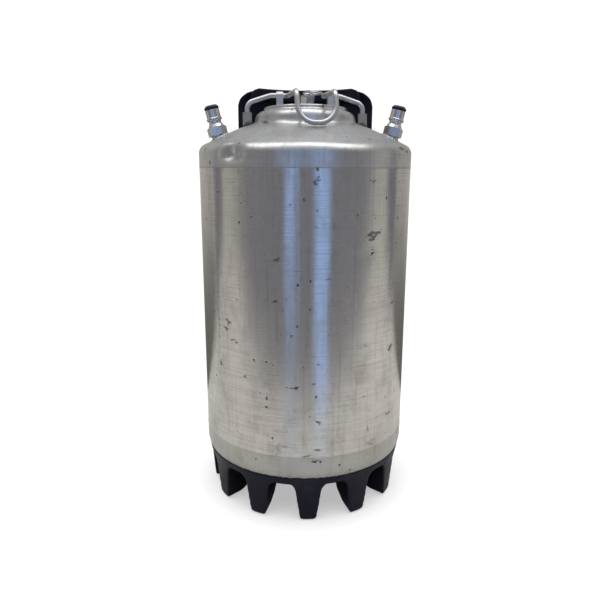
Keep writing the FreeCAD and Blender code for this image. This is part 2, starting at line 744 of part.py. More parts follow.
def build_bail_foot(hand, side):
    """Cap on the end of the bail: round, with a rolled underside that follows the dome's slope."""
    radius = size.foot_diameter / 2
    roll = radius * 1.15
    surface, fall = slope_at(size.foot_offset.value)
    centre = surface + (roll.value + size.foot_gap.value) / math.cos(math.radians(fall))
    drop = size.pivot_height.value - centre
    upright = rod(f"foot_{hand}_round", radius, -12, size.foot_top)
    heel = doc.addObject("Part::Cylinder", f"foot_{hand}_heel")
    bind(heel, Radius=roll, Height=30)
    along = Rotation(Vector(0, 1, 0), 90 + side * fall)
    heel.Placement = Placement(along.multVec(Vector(0, 0, -15)), along)
    block = doc.addObject("Part::Box", f"foot_{hand}_block")
    bind(block, Length=30, Width=30, Height=20)
    level = Rotation(Vector(0, 1, 0), side * fall)
    block.Placement = Placement(level.multVec(Vector(-15, -15, 0)), level)
    cap = common(f"foot_{hand}_cap", upright, fused(f"foot_{hand}_outline", heel, block))
    bore = rod(f"foot_{hand}_bore", size.bail_wire / 2, drop - size.leg_drop.value, 12)
    foot = cut(f"bail_foot_{hand}", cap, bore)
    lean = Rotation(Vector(1, 0, 0), -size.foot_tilt.value)
    drop_y = -drop * math.tan(math.radians(size.foot_tilt.value))
    place = Vector(side * size.foot_offset.value, drop_y, centre)
    foot.Placement = LID_TURN * Placement(place, lean)
    keep(foot, f"bail_foot_{hand}")


# --- relief valve ------------------------------------------------------------------------------


def build_valve_body():
    """Hexagon body screwed through the lid, with a seat at the bottom of its bore."""
    base = size.lid_top
    body = new_body("relief_valve_body")
    hexagon = draw_polygon(new_sketch(body, "XY_Plane", "HexOutline", base), 6, size.valve_hex, 15)
    pad(body, hexagon, size.valve_hex_top - base, "Hexagon")
    turn_outline(body, [
        (0, base - 7), (size.valve_shank / 2, base - 7), (size.valve_shank / 2, base + 1), (0, base + 1),
    ], "Shank")
    turn_outline(body, [
        (0, base - 8), (2.6, base - 8), (2.6, base - 4.6), (size.valve_bore / 2, base - 4.6),
        (size.valve_bore / 2, size.valve_hex_top + 1), (0, size.valve_hex_top + 1),
    ], "Bore", cut=True)
    turn_outline(body, [
        (size.valve_hex * 0.62, size.valve_hex_top + 1), (size.valve_hex * 0.49, size.valve_hex_top + 1),
        (size.valve_hex * 0.49, size.valve_hex_top), (size.valve_hex * 0.62, size.valve_hex_top - 1),
    ], "Chamfer", cut=True)
    body.Placement = VALVE_PLACE
    keep(body, "relief_valve_body")


def build_valve_cap():
    """Vented cap pressed into the body; it holds the spring down and guides the stem."""
    top = size.valve_hex_top
    cap = new_body("relief_valve_cap")
    turn_outline(cap, [
        (size.stem_diameter / 2 + 0.1, top - 1.6), (size.valve_bore / 2, top - 1.6),
        (size.valve_bore / 2, top), (4.85, top), (4.85, top + 1.4), (4.4, top + 1.85),
        (size.stem_diameter / 2 + 0.1, top + 1.85),
    ], "Cap")
    doc.recompute()
    vent = draw_outline(new_sketch(cap, "XZ_Plane", "VentOutline"), [
        (-0.7, top + 0.4), (0.7, top + 0.4), (0.7, top + 1.3), (-0.7, top + 1.3),
    ])
    vents = pocket(cap, vent, 12, "Vent", both_ways=True)
    polar_pattern(cap, vents, 3, "Vents")
    cap.Placement = VALVE_PLACE
    keep(cap, "relief_valve_cap")


def build_valve_stem():
    """Stem with a poppet disc below and a cross hole for the ring above."""
    base = size.lid_top
    radius = size.stem_diameter / 2
    stem = new_body("relief_valve_stem")
    turn_outline(stem, [
        (0, base - 2.9), (3.7, base - 2.9), (3.7, base - 1.9), (1.6, base - 1.9),
        (1.6, size.valve_hex_top - 3.8), (radius, size.valve_hex_top - 3.2), (radius, 417.6),
        (radius - 0.5, 418.1), (0, 418.1),
    ], "Stem")
    doc.recompute()
    play = size.ring_wire / 2 + 0.4
    middle = size.ring_height
    hole = draw_outline(new_sketch(stem, "XZ_Plane", "CrossHoleOutline"), [
        (play, middle, play), (0, middle + play, play), (-play, middle, play), (0, middle - play, play),
    ])
    pocket(stem, hole, 12, "CrossHole", both_ways=True)
    turn = Rotation(Vector(0, 0, 1), 90 - size.ring_azimuth.value)
    stem.Placement = VALVE_PLACE * Placement(Vector(), turn)
    keep(stem, "relief_valve_stem")


def build_valve_seal():
    base = size.lid_top
    seal = turned("relief_valve_seal", [
        (0, base - 4.5), (3.7, base - 4.5), (3.7, base - 2.9), (0, base - 2.9),
    ])
    seal.Placement = VALVE_PLACE


def build_valve_spring():
    low = size.lid_top - 1.8
    spring = coil_spring("relief_valve_spring", 3.2, 0.4, 2.2, 0, size.valve_hex_top - 1.7 - low)
    spring.Placement = VALVE_PLACE * Placement(Vector(0, 0, low.value), Rotation())


def build_pull_ring():
    """Split ring through the stem, lying flat on the cap."""
    ring = torus("pull_ring", size.ring_radius, size.ring_wire / 2)
    azimuth = math.radians(size.ring_azimuth.value)
    reach = size.ring_radius.value
    centre = Vector(reach * math.sin(azimuth), reach * math.cos(azimuth), size.ring_height.value)
    ring.Placement = VALVE_PLACE * Placement(centre, Rotation())


# --- handle and boot ---------------------------------------------------------------------------


def sector(body, inner, outer, half, low, high, name):
    """Curved upright wall behind the neck, between two radii and half wide to each side."""
    inner_y = math.sqrt(inner.value ** 2 - half.value ** 2)
    outer_y = math.sqrt(outer.value ** 2 - half.value ** 2)
    sketch = draw_outline(new_sketch(body, "XY_Plane", f"{name}Plan", low), [
        (half, inner_y), (half, outer_y, outer), (-half, outer_y), (-half, inner_y, -inner),
    ])
    return pad(body, sketch, high - low, name)


def trim_to_shape(body, half, top, corner, name):
    """Cut away what lies outside a rectangle with rounded upper corners, seen from the front."""
    far = half + 40
    floor = size.shoulder_height - 30
    sketch = draw_outline(new_sketch(body, "XZ_Plane", f"{name}Outline"), [
        (half, floor), (far, floor), (far, top + 40), (-far, top + 40), (-far, floor),
        (-half, floor), (-half, top - corner, -corner), (corner - half, top),
        (half - corner, top, -corner), (half, top - corner),
    ])
    return pocket(body, sketch, 300, name, both_ways=True)


def open_slot(body, half, low, high, name):
    """Cut a slot with rounded ends through the wall, seen from the front."""
    end = (high - low) / 2
    sketch = draw_outline(new_sketch(body, "XZ_Plane", f"{name}Outline"), [
        (end - half, low), (half - end, low, end), (half, low + end, end), (half - end, high),
        (end - half, high, end), (-half, low + end, end),
    ])
    return pocket(body, sketch, 300, name, both_ways=True)


def trim_to_dome(body, gap, name):
    """Cut away everything under the top head's outer surface."""
    floor = size.shoulder_height - 40
    return turn_outline(body, [
        (0, floor), (size.tank_radius + 20, floor), (size.tank_radius + 20, size.shoulder_height + gap),
        (size.shoulder_radius, size.shoulder_height + gap, size.crown_bend),
        (size.crown_edge, size.crown_top + gap), (0, size.crown_top + gap),
    ], name, cut=True)


def splay_ends(body, name):
    """Slant the ends of the rolled grip, which is wider at its underside than at its top."""
    top = size.handle_top
    knee = top - size.grip_fall
    half = size.grip_half
    knee_half = half + size.grip_bevel
    low_half = half + size.grip_spread
    low = size.grip_low
    far = low_half + 40
    sketch = draw_outline(new_sketch(body, "XZ_Plane", f"{name}Outline"), [
        (low_half, low), (low_half, low - 5), (far, low - 5), (far, top + 5), (-far, top + 5),
        (-far, low - 5), (-low_half, low - 5), (-low_half, low), (-knee_half, knee), (-half, top),
        (half, top), (knee_half, knee),
    ])
    return pocket(body, sketch, 300, name, both_ways=True)


def build_handle():
    """Steel bracket welded to the top head, and the rubber grip moulded round it."""
    foot = size.shoulder_height - 5
    bracket = new_body("handle_bracket")
    bracket_half = size.handle_half - 8
    bracket_top = size.wall_top - 4.5
    sector(bracket, size.bracket_inner, size.bracket_outer, bracket_half, foot, bracket_top, "Wall")
    trim_to_shape(bracket, bracket_half, bracket_top, size.handle_corner - 5, "Trim")
    open_slot(bracket, size.slot_half + 2.5, size.slot_low - 2.5, size.slot_high + 2.5, "Slot")
    trim_to_dome(bracket, as_size(0), "Foot")
    keep(bracket, "handle_bracket")

    wall = new_body("handle_wall")
    sector(wall, size.handle_inner, size.handle_outer, size.handle_half, foot, size.wall_top, "Wall")
    trim_to_shape(wall, size.handle_half, size.wall_top, size.handle_corner, "Trim")
    open_slot(wall, size.slot_half, size.slot_low, size.slot_high, "Slot")
    trim_to_dome(wall, as_size(0.3), "Foot")
    roll = new_body("handle_roll")
    roll_half = size.grip_half + size.grip_spread
    sector(roll, size.grip_inner, size.handle_outer, roll_half, size.grip_low, size.handle_top, "Roll")
    splay_ends(roll, "Ends")
    keep(cut("handle_grip", fused("handle_rubber", wall, roll), bracket), "handle_grip")


def build_boot():
    """Rubber boot: a thin cup under the bottom head, standing on twelve wedge shaped fingers."""
    dish, dish_centre, meet_r, meet_z = bottom_arcs(0)
    _, _, under_r, under_z = bottom_arcs(-size.boot_web)
    knuckle_centre = size.tank_radius - size.bottom_knuckle
    lip_drop = (size.bottom_bend - size.boot_top).value
    lip_r = knuckle_centre + math.sqrt(size.bottom_knuckle.value ** 2 - lip_drop ** 2)
    inside = size.boot_inside.value
    inside_z = dish_centre.value - math.sqrt(dish.value ** 2 - inside ** 2)
    web_z = dish_centre.value - math.sqrt((dish + size.boot_web).value ** 2 - inside ** 2)
    waist = 36.0
    brow_r = knuckle_centre + math.sqrt((size.bottom_knuckle + size.boot_web).value ** 2 - 18.0 ** 2)
    sole_round = 4.0
    boot = new_body("base_boot")
    turn_outline(boot, [
        (size.boot_tread, 0), (size.boot_foot - sole_round, 0, sole_round), (size.boot_foot, sole_round),
        (size.boot_waist, waist), (size.boot_lip, size.boot_top),
        (lip_r, size.boot_top, -size.bottom_knuckle),
        (meet_r, meet_z, -dish), (size.boot_inside, inside_z), (size.boot_inside, 17.0),
    ], "FingerRing")
    doc.recompute()
    whole = boot.Shape.Volume
    pitch_half = size.boot_foot * (math.pi / FINGERS)
    sole_corner = 5.0
    arch = 10.0
    low = pitch_half - size.finger_half
    root = pitch_half - size.finger_root
    gap = draw_outline(new_sketch(boot, "XZ_Plane", "GapOutline"), [
        (-(low + sole_corner), -1), (low + sole_corner, -1), (low + sole_corner, 0, -sole_corner),
        (low, sole_corner), (root, size.finger_top - arch, arch), (root - arch, size.finger_top),
        (arch - root, size.finger_top, arch), (-root, size.finger_top - arch),
        (-low, sole_corner, -sole_corner), (-(low + sole_corner), 0),
    ])
    gaps = pocket(boot, gap, 130, "Gap")
    doc.recompute()
    if boot.Shape.Volume >= whole:
        gaps.Reversed = True
    polar_pattern(boot, gaps, FINGERS, "Gaps")
    turn_outline(boot, [
        (brow_r, size.bottom_bend - 18.0), (lip_r, size.boot_top, -size.bottom_knuckle),
        (meet_r, meet_z, -dish), (size.boot_inside, inside_z),
        (size.boot_inside, web_z, dish + size.boot_web),
        (under_r, under_z, size.bottom_knuckle + size.boot_web),
    ], "Cup")
    boot.Placement.Rotation = Rotation(Vector(0, 0, 1), size.finger_azimuth.value + 180 / FINGERS)
    keep(boot, "base_boot")


# --- build and export --------------------------------------------------------------------------


def build_all():
    build_barrel()
    build_bottom_dome()
    build_top_dome()
    build_seam("top_seam_weld", size.high_seam, size.high_seam_width)
    build_seam("bottom_seam_weld", size.low_seam, size.low_seam_width)
    reaches = {"liquid": size.liquid_tube_length, "gas": size.gas_tube_length}
    for fluid, side in POST_SIDES.items():
        build_port(fluid, side)
        build_post(fluid, side)
        build_post_seals(fluid, side)
        build_poppet(fluid, side)
        build_dip_tube(fluid, side, reaches[fluid])
    build_lid()
    build_gasket()
    for hand, side in {"left": -1, "right": 1}.items():
        build_bail_bracket(hand, side)
        build_bail_foot(hand, side)
    build_bail()
    build_valve_body()
    build_valve_cap()
    build_valve_stem()
    build_valve_seal()
    build_valve_spring()
    build_pull_ring()
    build_handle()
    build_boot()


def check_and_export():
    """Stop if any object failed, then write one STEP file per node."""
    doc.recompute()
    for item in doc.Objects:
        if "Invalid" in item.State or "Error" in item.State:
            raise RuntimeError(f"{item.Label} failed: {item.State}")
    for label, thing in NODES.items():
        shape = thing.Shape
        if shape.isNull() or not shape.isValid() or shape.Volume <= 0:
            raise RuntimeError(f"{label} has no valid solid")
    os.makedirs("parts", exist_ok=True)
    for label, thing in NODES.items():
        box = thing.Shape.BoundBox
        thing.Shape.exportStep(f"parts/{label}.step")
        print(f"{label:24s} solids {len(thing.Shape.Solids)} volume {thing.Shape.Volume:10.1f} "
              f"x {box.XMin:7.1f} {box.XMax:7.1f} y {box.YMin:7.1f} {box.YMax:7.1f} "
              f"z {box.ZMin:7.1f} {box.ZMax:7.1f}")


build_all()
check_and_export()
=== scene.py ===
import math

import bpy
import numpy as np
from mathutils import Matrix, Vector


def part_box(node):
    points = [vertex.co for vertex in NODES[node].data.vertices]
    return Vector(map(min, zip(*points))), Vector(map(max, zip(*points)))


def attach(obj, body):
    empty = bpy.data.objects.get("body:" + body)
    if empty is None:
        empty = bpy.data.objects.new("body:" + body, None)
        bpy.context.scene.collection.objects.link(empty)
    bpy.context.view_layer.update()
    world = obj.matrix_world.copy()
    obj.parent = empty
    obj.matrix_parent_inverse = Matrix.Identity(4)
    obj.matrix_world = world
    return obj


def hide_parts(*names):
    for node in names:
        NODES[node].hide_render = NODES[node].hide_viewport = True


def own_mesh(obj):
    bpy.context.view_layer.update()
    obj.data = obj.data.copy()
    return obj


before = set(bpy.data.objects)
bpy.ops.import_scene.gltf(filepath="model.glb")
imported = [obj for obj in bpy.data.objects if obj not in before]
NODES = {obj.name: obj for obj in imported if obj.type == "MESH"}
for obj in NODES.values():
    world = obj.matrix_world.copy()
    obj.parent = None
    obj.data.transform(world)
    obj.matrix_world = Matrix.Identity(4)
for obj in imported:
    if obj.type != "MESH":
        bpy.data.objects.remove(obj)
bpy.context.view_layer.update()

# --- shader graphs -----------------------------------------------------------------------------


class Graph:
    """A node tree with short calls for the nodes that the materials use."""

    def __init__(self, owner, ending):
        owner.use_nodes = True
        self.tree = owner.node_tree
        self.tree.nodes.clear()
        self.end = self.tree.nodes.new(ending)

    def add(self, kind, **inputs):
        node = self.tree.nodes.new(kind)
        for name, value in inputs.items():
            self.feed(node.inputs[name.replace("_", " ")], value)
        return node

    def feed(self, socket, value):
        """Link a socket, or set a constant on it."""
        if isinstance(value, bpy.types.NodeSocket):
            self.tree.links.new(value, socket)
        elif isinstance(value, tuple) and socket.type == "RGBA" and len(value) == 3:
            socket.default_value = (*value, 1)
        elif isinstance(value, tuple) and socket.type == "VECTOR":
            socket.default_value = value
        else:
            socket.default_value = value

    def place(self, stretch=(1, 1, 1), shift=(0, 0, 0)):
        """Coordinates of the object, in metres, stretched so that a noise runs along the small ones."""
        source = self.add("ShaderNodeTexCoord").outputs["Object"]
        mapping = self.add("ShaderNodeMapping", Vector=source)
        mapping.inputs["Scale"].default_value = stretch
        mapping.inputs["Location"].default_value = shift
        return mapping.outputs[0]

    def noise(self, scale, detail=4.0, rough=0.55, stretch=(1, 1, 1), shift=(0, 0, 0)):
        node = self.add("ShaderNodeTexNoise", Vector=self.place(stretch, shift), Scale=scale,
                        Detail=detail, Roughness=rough)
        return node.outputs["Fac"]

    def spots(self, scale, share, radius, stretch=(1, 1, 1), shift=(0, 0, 0), ragged=0.4):
        """Ragged spots: only that share of the cells holds one, and each has a radius of its own."""
        wobble = self.add("ShaderNodeTexNoise", Vector=self.place(stretch, shift), Scale=scale * 3,
                          Detail=3.0)
        sway = self.add("ShaderNodeVectorMath")
        sway.operation = "SCALE"
        self.feed(sway.inputs[0], wobble.outputs["Color"])
        self.feed(sway.inputs["Scale"], ragged / scale)
        where = self.add("ShaderNodeVectorMath")
        where.operation = "ADD"
        self.feed(where.inputs[0], self.place(stretch, shift))
        self.feed(where.inputs[1], sway.outputs[0])
        cell = self.add("ShaderNodeTexVoronoi", Vector=where.outputs[0], Scale=scale)
        split = self.add("ShaderNodeSeparateColor", Color=cell.outputs["Color"])
        chosen = self.calc("LESS_THAN", split.outputs[0], share)
        reach = self.band(split.outputs[1], 0.0, 1.0, radius * 0.35, radius)
        inside = self.band(self.calc("SUBTRACT", cell.outputs["Distance"], reach), 0.0, -0.5 * radius)
        return self.calc("MULTIPLY", chosen, inside)

    def band(self, value, low, high, to_low=0.0, to_high=1.0):
        """Smooth step of a value between two levels."""
        node = self.tree.nodes.new("ShaderNodeMapRange")
        node.interpolation_type = "SMOOTHSTEP"
        for name, number in zip(("Value", "From Min", "From Max", "To Min", "To Max"),
                                (value, low, high, to_low, to_high)):
            self.feed(node.inputs[name], number)
        return node.outputs[0]

    def calc(self, operation, first, second=0.0, clamp=False):
        node = self.tree.nodes.new("ShaderNodeMath")
        node.operation = operation
        node.use_clamp = clamp
        self.feed(node.inputs[0], first)
        self.feed(node.inputs[1], second)
        return node.outputs[0]

    def mix(self, share, first, second, blend="MIX"):
        node = self.tree.nodes.new("ShaderNodeMix")
        node.data_type = "RGBA"
        node.blend_type = blend
        self.feed(node.inputs[0], share)
        self.feed(node.inputs[6], first)
        self.feed(node.inputs[7], second)
        return node.outputs[2]

    def bump(self, height, distance, strength=1.0, under=None):
        node = self.add("ShaderNodeBump", Height=height, Distance=distance, Strength=strength)
        if under is not None:
            self.feed(node.inputs["Normal"], under)
        return node.outputs[0]

    def surface(self, **inputs):
        """Principled shader wired to the output; constants are set on its own sockets."""
        shader = self.tree.nodes.new("ShaderNodeBsdfPrincipled")
        for name, value in inputs.items():
            self.feed(shader.inputs[name.replace("_", " ")], value)
        self.tree.links.new(shader.outputs[0], self.end.inputs["Surface"])
        return shader


def material(name):
    made = bpy.data.materials.new(name)
    return made, Graph(made, "ShaderNodeOutputMaterial")


def finish_nodes(made, *names):
    """Give CAD nodes a material."""
    for name in names:
        mesh = NODES[name].data
        mesh.materials.clear()
        mesh.materials.append(made)


# --- metals ------------------------------------------------------------------------------------


def worn_steel(name, tint, rough, lines, grime, smear):
    """Worn stainless sheet. Lines is how strongly it is brushed round, smear how far glints draw out."""
    made, graph = material(name)
    round_lines = graph.noise(1.0, 3.0, 0.65, (18, 18, 3200))
    drip_lines = graph.noise(1.0, 4.0, 0.6, (320, 320, 9), (4, 0, 1))
    broad = graph.noise(8.0, 5.0, 0.6, (1, 1, 0.6), (1, 5, 2))
    cloud = graph.noise(38.0, 6.0, 0.68, (1, 1, 0.55), (3, 1, 2))
    film = graph.band(cloud, 0.42, 0.72)
    handled = graph.band(graph.noise(150.0, 5.0, 0.75, (1, 1, 0.6), (8, 2, 5)), 0.5, 0.78)
    pits = graph.spots(170.0, 0.20, 0.26, (1, 1, 0.75), (1, 2, 3))
    marks = graph.spots(60.0, 0.16, 0.22, (0.7, 0.7, 1.4), (4, 5, 8), 1.1)
    nicks = graph.spots(52.0, 0.12, 0.16, (1.7, 1.7, 0.6), (9, 4, 1), 1.0)
    smudge = graph.calc("MULTIPLY", graph.spots(27.0, 0.20, 0.36, (0.75, 0.75, 1.5), (3, 8, 6), 1.3),
                        graph.band(cloud, 0.35, 0.6))
    rust = graph.spots(22.0, 0.07, 0.34, (1, 1, 1.4), (2, 9, 4), 0.9)
    scores = graph.spots(26.0, 0.22, 0.16, (0.18, 0.18, 9.0), (5, 5, 9), 0.2)
    base = graph.mix(graph.band(broad, 0.3, 0.7), tint, tuple(0.9 * channel for channel in tint))
    dull = graph.mix(graph.calc("MULTIPLY", film, 0.42 * grime), base, (0.37, 0.35, 0.30))
    lined = graph.mix(graph.band(round_lines, 0.42, 0.7, 0.0, 0.4 * lines), dull, (0.27, 0.26, 0.24))
    dripped = graph.mix(graph.band(drip_lines, 0.5, 0.75, 0.0, 0.34 * grime), lined, (0.25, 0.24, 0.21))
    worn = graph.mix(graph.calc("MULTIPLY", handled, 0.3 * grime), dripped, (0.23, 0.21, 0.185))
    smudged = graph.mix(graph.calc("MULTIPLY", smudge, 0.5 * grime), worn, (0.10, 0.095, 0.09))
    worn_rust = graph.calc("MULTIPLY", rust, handled)
    rusted = graph.mix(graph.calc("MULTIPLY", worn_rust, 0.55 * grime), smudged, (0.20, 0.10, 0.06))
    patches = graph.spots(11.0, 0.4, 0.40, (1, 1, 0.6), (3, 2, 8), 1.0)
    faded = graph.mix(graph.calc("MULTIPLY", patches, 0.3 * grime), rusted, (0.28, 0.27, 0.25))
    soot = graph.spots(33.0, 0.27, 0.26, (0.7, 0.7, 1.6), (6, 3, 2), 1.6)
    sooty = graph.mix(graph.calc("MULTIPLY", soot, 0.75 * grime), faded, (0.05, 0.045, 0.04))
    scored = graph.mix(graph.calc("MULTIPLY", scores, 0.4), sooty, (0.75, 0.74, 0.72))
    spotted = graph.calc("MAXIMUM", pits, graph.calc("MAXIMUM", marks, nicks))
    colour = graph.mix(graph.calc("MULTIPLY", spotted, 0.85 * grime), scored, (0.045, 0.04, 0.035))
    roughness = graph.calc("ADD", graph.band(round_lines, 0.3, 0.7, rough - 0.04, rough + 0.05),
                           graph.calc("ADD", graph.calc("MULTIPLY", film, 0.07 * grime),
                                      graph.calc("MULTIPLY", spotted, 0.25)))
    swell = graph.bump(graph.noise(1.0, 3.0, 0.5, (26, 26, 5), (7, 7, 1)), 0.0010, 0.25)
    grain = graph.bump(round_lines, 0.000009 * lines, 1.0, swell)
    sunk = graph.bump(graph.calc("MULTIPLY", spotted, -1.0), 0.00015, 0.6, grain)
    tangent = graph.tree.nodes.new("ShaderNodeTangent")
    tangent.direction_type = "RADIAL"
    tangent.axis = "Z"
    graph.surface(Base_Color=colour, Metallic=1.0, Roughness=roughness, Normal=sunk,
                  Anisotropic=smear, Anisotropic_Rotation=0.25, Tangent=tangent.outputs[0])
    return made


def bright_metal(name, tint, rough, dirt=0.3):
    """Turned or drawn metal: soft machining marks, and fingerprints and grime in patches."""
    made, graph = material(name)
    marks = graph.noise(500.0, 3.0, 0.6, (1, 1, 4))
    smear = graph.noise(120.0, 4.0, 0.6)
    colour = graph.mix(graph.band(smear, 0.5, 0.75, 0.0, dirt), tint, (0.25, 0.23, 0.2))
    roughness = graph.calc("ADD", graph.band(smear, 0.35, 0.7, rough, rough + 0.14),
                           graph.band(marks, 0.3, 0.7, 0.0, 0.05))
    graph.surface(Base_Color=colour, Metallic=1.0, Roughness=roughness,
                  Normal=graph.bump(marks, 0.00002, 0.6))
    return made


def rubber(name, tint, rough, worn, sheen=(1, 1, 1)):
    """Moulded rubber: fine pebbled skin, dust in patches and pale rubbed places."""
    made, graph = material(name)
    skin = graph.noise(900.0, 3.0, 0.5)
    dust = graph.noise(35.0, 6.0, 0.65, shift=(2, 4, 6))
    rub = graph.band(graph.noise(90.0, 6.0, 0.7, shift=(9, 1, 4)), 0.58, 0.8)
    dusty = graph.mix(graph.band(dust, 0.5, 0.8, 0.0, worn), tint, (0.16, 0.155, 0.15))
    colour = graph.mix(graph.calc("MULTIPLY", rub, worn * 0.5), dusty, (0.10, 0.10, 0.105))
    roughness = graph.band(dust, 0.35, 0.75, rough, rough + 0.2)
    graph.surface(Base_Color=colour, Roughness=roughness, Specular_IOR_Level=0.25, Specular_Tint=sheen,
                  Normal=graph.bump(skin, 0.00008, 0.5))
    return made


BARREL_STEEL = worn_steel("barrel_steel", (0.68, 0.665, 0.635), 0.20, 1.0, 1.0, 0.94)
HEAD_STEEL = worn_steel("head_steel", (0.62, 0.615, 0.61), 0.34, 0.7, 1.0, 0.5)
# The foot steel is the head's steel tinted darker: painted shade on the bottom head, where less light
# falls.
SHADED_FOOT_STEEL = worn_steel("shaded_foot_steel", (0.53, 0.52, 0.495), 0.33, 0.8, 1.0, 0.5)
BEAD_STEEL = worn_steel("bead_steel", (0.44, 0.43, 0.41), 0.42, 0.4, 0.3, 0.4)
HANDLE_RUBBER = rubber("handle_rubber", (0.0035, 0.0038, 0.0085), 0.34, 0.06, (0.62, 0.64, 1.0))
BOOT_RUBBER = rubber("boot_rubber", (0.005, 0.005, 0.0095), 0.38, 0.10, (0.7, 0.7, 1.0))

finish_nodes(BARREL_STEEL, "barrel")
finish_nodes(HEAD_STEEL, "top_dome")
# Painted shade: the bottom head and its seam weld take the darker foot steel.
finish_nodes(SHADED_FOOT_STEEL, "bottom_dome", "bottom_seam_weld")
finish_nodes(BEAD_STEEL, "top_seam_weld")
finish_nodes(worn_steel("lid_steel", (0.62, 0.61, 0.59), 0.28, 0.3, 0.5, 0.0), "lid")
finish_nodes(bright_metal("bail_steel", (0.56, 0.55, 0.53), 0.30), "bail")
finish_nodes(bright_metal("strap_steel", (0.60, 0.585, 0.56), 0.42),
             "bail_bracket_left", "bail_bracket_right")
finish_nodes(bright_metal("post_steel", (0.68, 0.67, 0.66), 0.12), "liquid_post", "gas_post",
             "relief_valve_body", "relief_valve_cap")
finish_nodes(bright_metal("fitting_steel", (0.55, 0.545, 0.54), 0.25),
             "liquid_port", "gas_port", "liquid_poppet", "gas_poppet", "liquid_dip_tube", "gas_dip_tube",
             "relief_valve_stem", "handle_bracket", "liquid_poppet_spring", "gas_poppet_spring",
             "relief_valve_spring", "pull_ring")
finish_nodes(rubber("seal_rubber", (0.010, 0.010, 0.011), 0.35, 0.2),
             "liquid_post_oring", "gas_post_oring", "liquid_tube_oring", "gas_tube_oring",
             "liquid_poppet_seal", "gas_poppet_seal", "relief_valve_seal", "lid_gasket")
finish_nodes(HANDLE_RUBBER, "handle_grip")
finish_nodes(BOOT_RUBBER, "base_boot")
finish_nodes(rubber("foot_cap", (0.20, 0.20, 0.185), 0.5, 0.4), "bail_foot_left", "bail_foot_right")

# --- sheet metal and rubber, modelled again ------------------------------------------------------

# Sizes here are in millimetres and azimuths in degrees from the front, towards +X.
MM = 0.001
TANK_RADIUS = 107.95
SHEET = 1.5
AZIMUTHS = 720
SHARP_EDGE = 50
POST_LEAN = math.radians(13.5)
POST_OFFSET = 88.5
POST_FOOT = 376.0


def new_piece(name, points, faces, made, slot, *nodes):
    """A smooth mesh piece that rides on the tank and stands for CAD nodes. Points are in millimetres."""
    mesh = bpy.data.meshes.new(name)
    mesh.from_pydata((np.asarray(points) * MM).tolist(), [], faces)
    mesh.shade_smooth()
    mesh.set_sharp_from_angle(angle=math.radians(SHARP_EDGE))
    mesh.materials.append(made)
    piece = bpy.data.objects.new(name, mesh)
    bpy.context.scene.collection.objects.link(piece)
    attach(piece, "tank")
    if nodes:
        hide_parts(*nodes)
    return piece


def skin(rows):
    """Points and faces of a shell through closed rows of equal length; the last row joins the first."""
    rows = np.asarray(rows)
    levels, count, _ = rows.shape
    faces = []
    for level in range(levels):
        above = (level + 1) % levels
        for step in range(count):
            after = (step + 1) % count
            faces.append((level * count + step, level * count + after,
                          above * count + after, above * count + step))
    return rows.reshape(-1, 3), faces


def bell(distance, width):
    """A soft hump: 1 in its middle and near 0 beyond twice its width."""
    return np.exp(-(distance / width) ** 2)


def arc(centre, radius, first, last, count):
    """Points of a circular arc in the plane of the profile. Angles are in degrees."""
    turn = np.radians(np.linspace(first, last, count))
    return np.stack([centre[0] + radius * np.cos(turn), centre[1] + radius * np.sin(turn)], axis=-1)


def line(start, end, count):
    share = np.linspace(0, 1, count)[:, None]
    return np.asarray(start) * (1 - share) + np.asarray(end) * share


def around(turn, reach, height):
    """Points at azimuths counted from the front, towards +X."""
    return np.stack([reach * np.sin(turn), -reach * np.cos(turn), height], axis=-1)


def spread(turn, middle):
    """Signed difference of azimuths, in degrees."""
    return np.degrees(np.angle(np.exp(1j * (turn - math.radians(middle)))))


# --- barrel ------------------------------------------------------------------------------------

BARREL_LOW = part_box("barrel")[0].z / MM
BARREL_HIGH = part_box("barrel")[1].z / MM
BARREL_LEVELS = 110
LONG_WELD = -2.2
# Azimuth, height, depth, half width and half height of each dent.
BARREL_DENTS = (
    (-38, 118, 0.5, 9, 12),
    (31, 268, 0.35, 12, 9),
    (112, 190, 0.8, 14, 18),
    (-150, 240, 0.6, 10, 20),
)


def dimple(turn, height, azimuth, middle, depth, across, tall):
    """A shallow dent in a side wall, by azimuth and height."""
    along = spread(turn, azimuth) * math.radians(1) * TANK_RADIUS
    return depth * bell(along, across) * bell(height - middle, tall)


def build_barrel():
    """Rolled sheet: nearly round, a little flat beside its longitudinal weld, with shallow dents."""
    turn = np.linspace(-np.pi, np.pi, AZIMUTHS, endpoint=False)
    rows = []
    heights = np.linspace(BARREL_LOW, BARREL_HIGH, BARREL_LEVELS)
    for outside, levels in ((True, heights), (False, heights[::-1])):
        for level in levels:
            height = np.full(AZIMUTHS, level)
            if not outside:
                rows.append(around(turn, np.full(AZIMUTHS, TANK_RADIUS - SHEET), height))
                continue
            fade = np.clip(min(level - BARREL_LOW, BARREL_HIGH - level) / 14, 0, 1)
            sway = (0.05 * (1 + np.sin(5 * turn + level / 37))
                    + 0.035 * (1 + np.sin(11 * turn - level / 23 + 1)))
            dents = sum(dimple(turn, height, *dent) for dent in BARREL_DENTS)
            reach = TANK_RADIUS - fade * (sway + dents)
            off = spread(turn, LONG_WELD) * math.radians(1) * TANK_RADIUS
            ripple = 1 + 0.25 * math.sin(level * 2.1) + 0.2 * math.sin(level * 0.83 + 1)
            proud = 0.03 + 0.06 * np.clip((190 - level) / 90, 0, 1)
            reach += proud * ripple * bell(off, 0.8) - fade * 0.10 * bell(off, 6)
            rows.append(around(turn, reach, height))
    points, faces = skin(rows)
    new_piece("barrel_sheet", points, faces, BARREL_STEEL, "barrel_steel", "barrel")


# --- top head ----------------------------------------------------------------------------------

